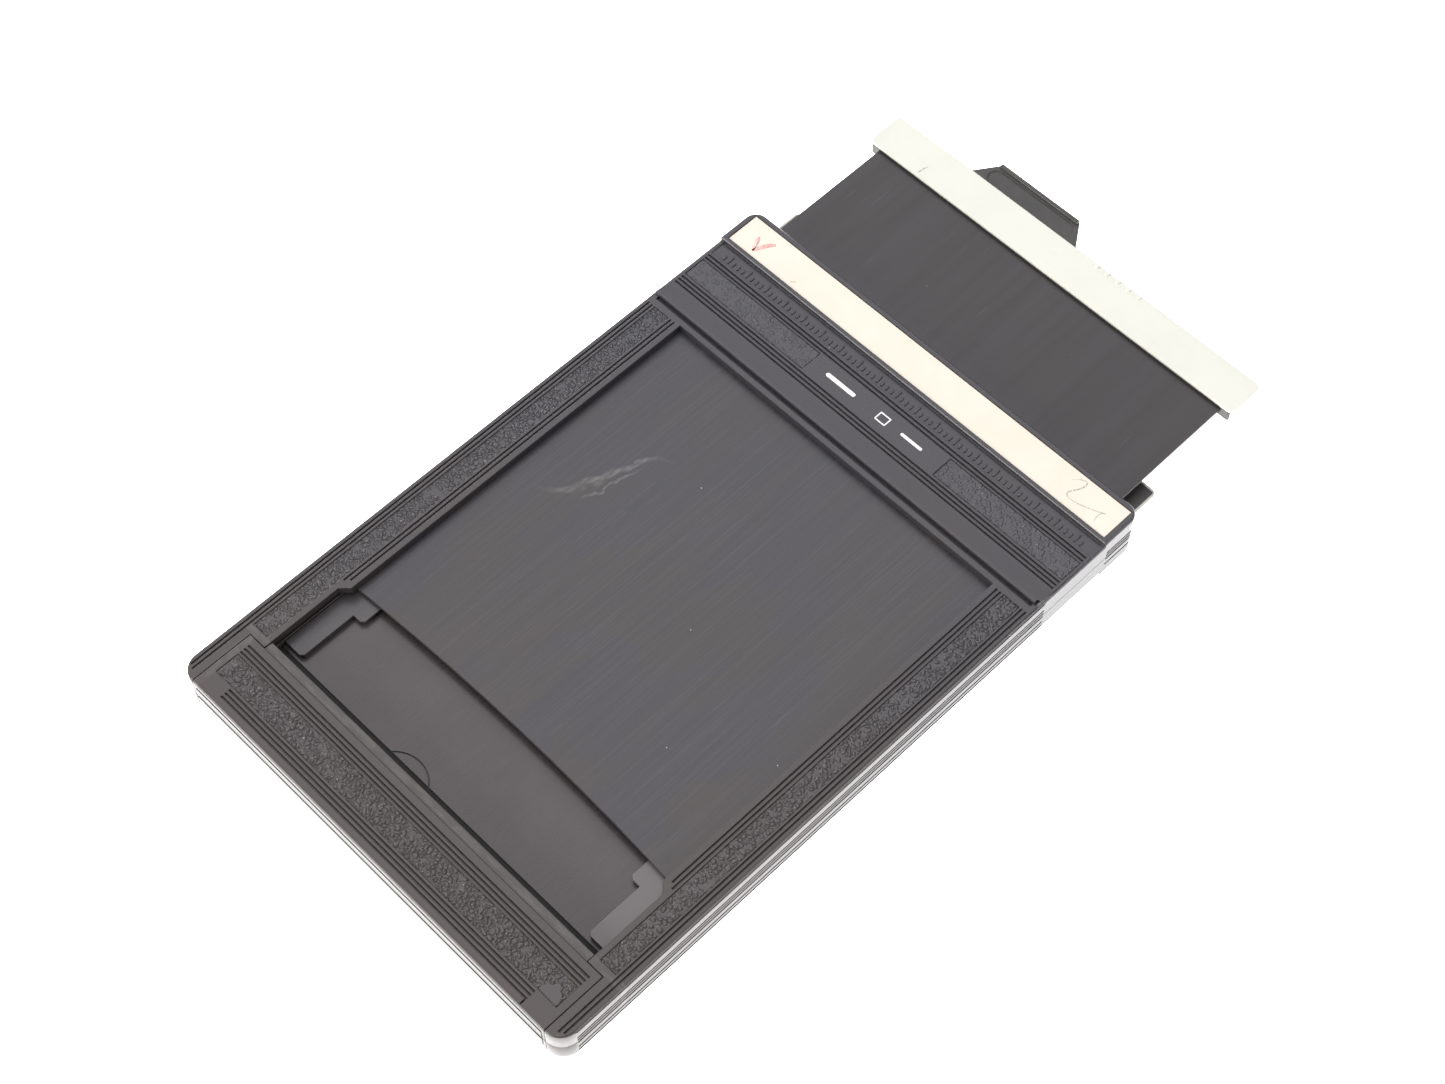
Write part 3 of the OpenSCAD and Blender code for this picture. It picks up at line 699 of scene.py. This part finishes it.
def finish_builder(builder, name):
    """Turns what is built into a smooth mesh with its faces outward."""
    bmesh.ops.recalc_face_normals(builder, faces=builder.faces)
    mesh = bpy.data.meshes.new(name)
    builder.to_mesh(mesh)
    builder.free()
    for face in mesh.polygons:
        face.use_smooth = True
    return mesh


TICK_PITCH = 1.5 * MM
TICK_REACH = 55.5 * MM
TICK_Y = GATE_FAR + 21.2 * MM
TICK_WIDTH = 0.55 * MM
TICK_RISE = 0.3 * MM
LONG_TICK = 2.3 * MM
SHORT_TICK = 1.4 * MM
TICKS_PER_LONG = 4


def add_ticks(materials):
    """A raised scale in the sunk band of the head, with every fourth tick long."""
    for lower in (False, True):
        side = "lower" if lower else "upper"
        builder = bmesh.new()
        count = round(TICK_REACH / TICK_PITCH)
        for k in range(-count, count + 1):
            length = SHORT_TICK if k % TICKS_PER_LONG else LONG_TICK
            centre = (k * TICK_PITCH, TICK_Y + length / 2 - SHORT_TICK / 2, SEAT_Z - GRAIN_DEPTH)
            capsule(builder, centre, length, TICK_WIDTH, TICK_RISE, True, lower)
        mesh = finish_builder(builder, f"{side}_tick_row")
        add_piece(f"{side}_tick_row", mesh, materials["body_plastic"], "holder_body")


INK = 0.015 * MM
# Each printed stroke, in millimetres: centre from the middle of the smooth panel, length,
# width, and whether it runs along Y
PRINT_STROKES = (
    ((-11, 0), 9, 1.1, False), ((11, 0), 6.4, 0.8, False),
    ((2.2, -1.1), 3.2, 0.34, False), ((0.75, 0), 2.5, 0.34, True),
    ((2.2, 1.1), 3.2, 0.34, False), ((3.65, 0), 2.5, 0.34, True),
)


def add_print(materials):
    """Two printed bars and a blank sheet sign on the smooth panel of the head."""
    middle = (HEAD_GRAIN_Y[0] + HEAD_GRAIN_Y[1]) / 2
    for lower in (False, True):
        builder = bmesh.new()
        for (x, y), length, width, along_y in PRINT_STROKES:
            capsule(builder, (x * MM, middle + y * MM, SEAT_Z), length * MM, width * MM, INK,
                    along_y, lower)
        side = "lower" if lower else "upper"
        mesh = finish_builder(builder, f"{side}_print_marks")
        add_piece(f"{side}_print_marks", mesh, materials["white_print"], "holder_body")


def bezier(corners, steps):
    """Points along a chain of curves: a knot, then two handles and a knot for each curve."""
    points = []
    for k in range(0, len(corners) - 1, 3):
        knots = [Vector((x, y, 0)) for x, y in corners[k:k + 4]]
        part = interpolate_bezier(knots[0], knots[1], knots[2], knots[3], steps)
        points += part[1 if points else 0:]
    return [(point.x, point.y) for point in points]


STROKE_RISE = 0.012 * MM


def stroke(name, points, width, face_z, material, body):
    """A flat pencil stroke on a face at face_z, through points given in millimetres."""
    builder = bmesh.new()
    sides = []
    for k, point in enumerate(points):
        before = Vector(points[max(0, k - 1)])
        after = Vector(points[min(len(points) - 1, k + 1)])
        across = (after - before).orthogonal().normalized()
        taper = math.sin(math.pi * (k + 0.6) / (len(points) + 0.2)) ** 0.4
        pair = []
        for sign in (-1, 1):
            x, y = Vector(point) + sign * across * width / 2 * taper
            pair.append([builder.verts.new((x * MM, y * MM, height))
                         for height in (face_z, face_z + STROKE_RISE)])
        sides.append(pair)
    for (a, b), (c, d) in zip(sides, sides[1:]):
        builder.faces.new((a[1], b[1], d[1], c[1]))
        builder.faces.new((a[0], c[0], d[0], b[0]))
        builder.faces.new((a[0], a[1], c[1], c[0]))
        builder.faces.new((b[0], d[0], d[1], b[1]))
    for end in (sides[0], sides[-1]):
        builder.faces.new((end[0][0], end[1][0], end[1][1], end[0][1]))
    add_piece(name, finish_builder(builder, name), material, body)


# Name, pencil, width and steps of each mark on the upper label, and its curve in millimetres
LABEL_MARKS = (
    ("red_tick_short", "red_pencil", 1.0, 12,
     ((-53.6, 90.6), (-53.0, 89.6), (-52.4, 88.2), (-51.9, 86.6))),
    ("red_tick_long", "red_pencil", 1.2, 12,
     ((-51.9, 86.6), (-51.4, 88.4), (-50.4, 90.2), (-49.1, 91.6))),
    ("grey_hook", "grey_pencil", 0.34, 12,
     ((43.4, 91.6), (46.6, 95.4), (47.8, 92.9), (45.4, 89.6), (43.6, 86.6), (47.6, 86.9),
      (54.8, 90.2))),
    ("grey_dash", "grey_pencil", 0.26, 6,
     ((53.9, 87.0), (53.6, 88.0), (53.6, 89.0), (54.0, 90.0))),
    ("grey_speck", "grey_pencil", 0.3, 4,
     ((-39.2, 86.4), (-38.9, 86.7), (-38.6, 87.0), (-38.2, 87.2))),
)
# The nick on the white bar, measured along Y from the bar's near edge
NICK_WIDTH = 0.34
NICK_STEPS = 8
NICK_CURVE = ((-41.4, 0.7), (-41.2, 1.7), (-41.3, 2.7), (-40.8, 3.7))


def add_pencil(materials):
    """A red tick and loose grey marks on the label, and a nick of pencil on the white bar."""
    for name, pencil_name, width, steps, corners in LABEL_MARKS:
        stroke(name, bezier(corners, steps), width, LABEL_Z, materials[pencil_name],
               "holder_body")
    corners = [(x, y + CAP_LOW.y / MM) for x, y in NICK_CURVE]
    stroke("bar_pencil_nick", bezier(corners, NICK_STEPS), NICK_WIDTH, BAR_TOP_Z,
           materials["grey_pencil"], "upper_dark_slide")


# ---------------------------------------------------------------- stage
FLOOR_GLOW = 2.9
WORLD_GLOW = 0.35
FLOOR_SIZE = 8.0
# Name, place and size in metres, radiance and colour
SOFTBOXES = (
    ("top_panel", (-0.78, 0.76, 1.74), (2.2, 2.2), 2.0, (1.0, 0.965, 1.0)),
    ("overhead_lamp", (0.05, -0.3, 2.0), (0.28, 0.28), 25.0, (1.0, 0.98, 0.95)),
    ("front_panel", (-0.62, -2.1, 0.74), (2.0, 0.9), 12.0, (1.0, 0.97, 0.93)),
    ("right_panel", (2.0, 0.8, 0.8), (0.9, 0.9), 6.0, (1.0, 0.98, 0.95)),
    ("left_panel", (-2.2, 0.85, 0.32), (1.4, 0.5), 8.0, (1.0, 0.95, 0.9)),
)


def add_stage():
    """A white table under the holder, with a dim world and five softboxes."""
    floor_z = CAD_BOX[0][2]
    bpy.ops.mesh.primitive_plane_add(size=FLOOR_SIZE, location=(0, 0, floor_z))
    floor = bpy.context.object
    floor.name = "table_top"
    floor.data.materials.append(floor_material())
    world = bpy.data.worlds.new("studio")
    bpy.context.scene.world = world
    world.use_nodes = True
    background = world.node_tree.nodes["Background"]
    background.inputs["Color"].default_value = (1, 1, 1, 1)
    background.inputs["Strength"].default_value = WORLD_GLOW
    for name, place, size, radiance, colour in SOFTBOXES:
        data = bpy.data.lights.new(name, "AREA")
        data.shape = "RECTANGLE"
        data.size, data.size_y = size
        data.energy = radiance * math.pi * size[0] * size[1]
        data.color = colour
        lamp = bpy.data.objects.new(name, data)
        bpy.context.scene.collection.objects.link(lamp)
        lamp.location = place
        lamp.rotation_mode = "QUATERNION"
        lamp.rotation_quaternion = (-Vector(place)).to_track_quat("-Z", "Y")
    bpy.context.scene.view_settings.view_transform = "Standard"


# ---------------------------------------------------------------- the model
make_camera()
MATERIALS = {
    "body_plastic": body_plastic(), "grain_plastic": grain_plastic(),
    "guide_plastic": guide_plastic(), "slide_sheet": slide_sheet(),
    "septum_sheet": septum_sheet(), "hinge_cloth": hinge_cloth(),
    "trap_felt": trap_felt(), "spring_bronze": spring_bronze(),
    "handle_black": handle_black(), "handle_white": handle_white(),
    "label_card": label_card(), "white_print": white_print(),
    "red_pencil": pencil("red_pencil", RED_LEAD, 0.95),
    "grey_pencil": pencil("grey_pencil", GREY_LEAD, 0.9),
}
dress_cad_nodes(MATERIALS)
add_grain(MATERIALS)
add_ticks(MATERIALS)
add_print(MATERIALS)
add_pencil(MATERIALS)
add_stage()
